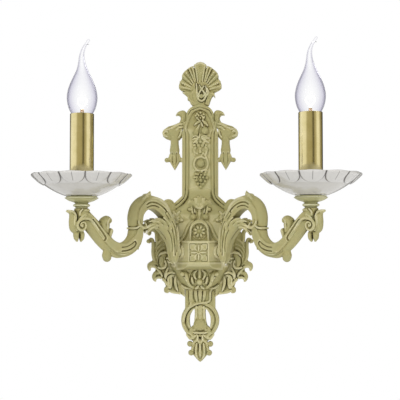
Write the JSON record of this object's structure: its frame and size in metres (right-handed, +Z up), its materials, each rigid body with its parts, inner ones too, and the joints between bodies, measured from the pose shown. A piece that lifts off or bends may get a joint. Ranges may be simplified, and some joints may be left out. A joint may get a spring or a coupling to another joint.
{
  "type": "double arm wall sconce",
  "caption": "Ornate cast wall sconce with S-shaped scroll arms, glazed drip dishes, brass candle sleeves and bent-tip candle bulbs",
  "frame": {"origin": "middle of the wall bar's two fixing slots, on the wall plane", "axes": "+Z up, -Y out of the wall towards the viewer, +X to the viewer's right; x = 0 is the plane of symmetry"},
  "size_m": [0.375, 0.1656, 0.3791],
  "materials": {
    "casting": "matt olive-gold paint with a dark wash in the relief",
    "zinc_steel": "bright zinc plate",
    "glazed_ceramic": "opaque white glaze with a brown line in the petal relief",
    "sleeve_brass": "satin, lacquered",
    "contact_brass": "bare stamped brass",
    "cap_metal": "nickel-tinted brass",
    "bulb_clear_glass": "clear",
    "stem_glass": "clear",
    "insulator_black": "black glass",
    "filament_wire": "bare wire",
    "holder_plastic": "moulded",
    "gasket_rubber": "matt",
    "lead_sheath": "smooth sheath"
  },
  "bodies": {
    "root": {"backplate": "casting", "crest_shell": "casting", "side_scroll_left": "casting", "side_scroll_right": "casting", "leaf_wing_left": "casting", "leaf_wing_right": "casting", "pendant": "casting", "arm_housing": "casting", "arm_left": "casting", "arm_right": "casting", "arm_collar_left": "casting", "arm_collar_right": "casting", "neck_ring_left": "casting", "neck_ring_right": "casting", "cup_left": "casting", "cup_right": "casting", "wall_bar": "zinc_steel", "fixing_screws": "zinc_steel", "housing_screws": "zinc_steel", "terminal_screws": "zinc_steel", "arm_tube_left": "zinc_steel", "arm_tube_right": "zinc_steel", "tube_nut_left": "zinc_steel", "tube_nut_right": "zinc_steel", "lock_nut_left": "zinc_steel", "lock_nut_right": "zinc_steel", "holder_bracket_left": "zinc_steel", "holder_bracket_right": "zinc_steel", "dish_left": "glazed_ceramic", "dish_right": "glazed_ceramic", "sleeve_left": "sleeve_brass", "sleeve_right": "sleeve_brass", "earth_screw": "contact_brass", "screw_shell_left": "contact_brass", "screw_shell_right": "contact_brass", "centre_contact_left": "contact_brass", "centre_contact_right": "contact_brass", "holder_body_left": "holder_plastic", "holder_body_right": "holder_plastic", "terminal_block": "holder_plastic", "dish_gasket_left": "gasket_rubber", "dish_gasket_right": "gasket_rubber", "lead_left": "lead_sheath", "lead_right": "lead_sheath"},
    "bulb_left_travel": {"bulb_contact_left": "cap_metal"},
    "bulb_left": {"bulb_glass_left": "bulb_clear_glass", "bulb_cap_left": "cap_metal", "bulb_insulator_left": "insulator_black", "bulb_stem_left": "stem_glass", "filament_left": "filament_wire"},
    "bulb_right_travel": {"bulb_contact_right": "cap_metal"},
    "bulb_right": {"bulb_glass_right": "bulb_clear_glass", "bulb_cap_right": "cap_metal", "bulb_insulator_right": "insulator_black", "bulb_stem_right": "stem_glass", "filament_right": "filament_wire"}
  },
  "joints": [
    {"name": "bulb_left_lift", "type": "slide", "parent": "root", "child": "bulb_left_travel", "axis": [0, 0, 1], "range_m": [0, 0.0085]},
    {"name": "bulb_left_turn", "type": "hinge", "parent": "bulb_left_travel", "child": "bulb_left", "pos_m": [-0.13, -0.10809, 0.12], "axis": [0, 0, 1], "range_deg": [0, 1080]},
    {"name": "bulb_right_lift", "type": "slide", "parent": "root", "child": "bulb_right_travel", "axis": [0, 0, 1], "range_m": [0, 0.0085]},
    {"name": "bulb_right_turn", "type": "hinge", "parent": "bulb_right_travel", "child": "bulb_right", "pos_m": [0.13, -0.10809, 0.12], "axis": [0, 0, 1], "range_deg": [0, 1080]}
  ],
  "couplings": [
    {"joint": "bulb_left_lift", "follows": "bulb_left_turn", "m_per_rad": 0.00044917},
    {"joint": "bulb_right_lift", "follows": "bulb_right_turn", "m_per_rad": 0.00044917}
  ]
}
